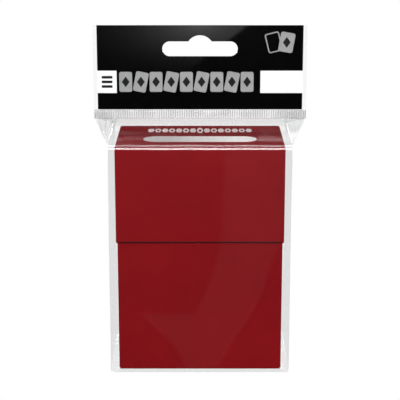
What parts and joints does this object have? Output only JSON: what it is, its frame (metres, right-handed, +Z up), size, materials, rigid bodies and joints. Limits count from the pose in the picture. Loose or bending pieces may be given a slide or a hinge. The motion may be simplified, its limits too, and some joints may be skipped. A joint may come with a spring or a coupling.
{
  "type": "card deck box",
  "caption": "Folding plastic deck box for collectable cards, with a flip lid over the front, a divider and a clear hanging bag with a black header card.",
  "frame": {"origin": "middle of the bag's bottom, on the surface that the box stands on", "axes": "+Z up, the front panel and lid face -Y, +X to the viewer's right from the front"},
  "size_m": [0.0908, 0.0478, 0.1474],
  "materials": {
    "red_polypropylene": "satin dark-red polypropylene sheet with a fine grain",
    "divider_sheet": "satin dark-red polypropylene sheet with a fine grain",
    "write_on_strip": "white printed film",
    "foil": "silver-white hot-stamped foil",
    "clear_film": "clear wrinkled polypropylene film",
    "crimped_film": "ribbed heat seal in clear film",
    "black_card": "gloss black printed card",
    "white_label": "white printed label"
  },
  "bodies": {
    "base": {"base_front_panel": "red_polypropylene", "base_back_panel": "red_polypropylene", "base_left_panel": "red_polypropylene", "base_right_panel": "red_polypropylene", "seam_flap": "red_polypropylene", "seam_welds": "red_polypropylene", "bottom_front_flap": "red_polypropylene", "bottom_back_flap": "red_polypropylene", "bottom_left_flap": "red_polypropylene", "bottom_right_flap": "red_polypropylene", "living_hinge": "red_polypropylene", "bag_front_film": "clear_film", "bag_back_film": "clear_film", "bag_left_gusset": "clear_film", "bag_right_gusset": "clear_film", "bag_bottom_film": "clear_film"},
    "lid": {"lid_top_panel": "red_polypropylene", "lid_front_panel": "red_polypropylene", "lid_left_wing": "red_polypropylene", "lid_right_wing": "red_polypropylene", "lid_left_lip": "red_polypropylene", "lid_right_lip": "red_polypropylene", "lid_welds": "red_polypropylene", "name_strip": "write_on_strip", "foil_ornament": "foil", "bag_lid_front_film": "clear_film", "bag_lid_left_gusset": "clear_film", "bag_lid_right_gusset": "clear_film", "bag_front_shoulder": "clear_film", "bag_back_shoulder": "clear_film", "bag_left_shoulder": "clear_film", "bag_right_shoulder": "clear_film"},
    "header": {"heat_seal_strip": "crimped_film", "header_card": "black_card", "header_front_film": "clear_film", "header_back_film": "clear_film", "contents_label": "white_label", "colour_label": "white_label"},
    "divider": {"deck_divider": "divider_sheet"}
  },
  "joints": [
    {"name": "lid_hinge", "type": "hinge", "parent": "base", "child": "lid", "pos_m": [0, 0.02325, 0.09915], "axis": [-1, 0, 0], "range_deg": [0, 150]},
    {"name": "header_fold", "type": "hinge", "parent": "lid", "child": "header", "pos_m": [0, 0, 0.1072], "axis": [1, 0, 0], "range_deg": [-60, 60], "stiffness_Nm_per_rad": 0.003},
    {"name": "divider_slide", "type": "slide", "parent": "base", "child": "divider", "axis": [0, 1, 0], "range_m": [-0.0315, 0.0115]}
  ]
}
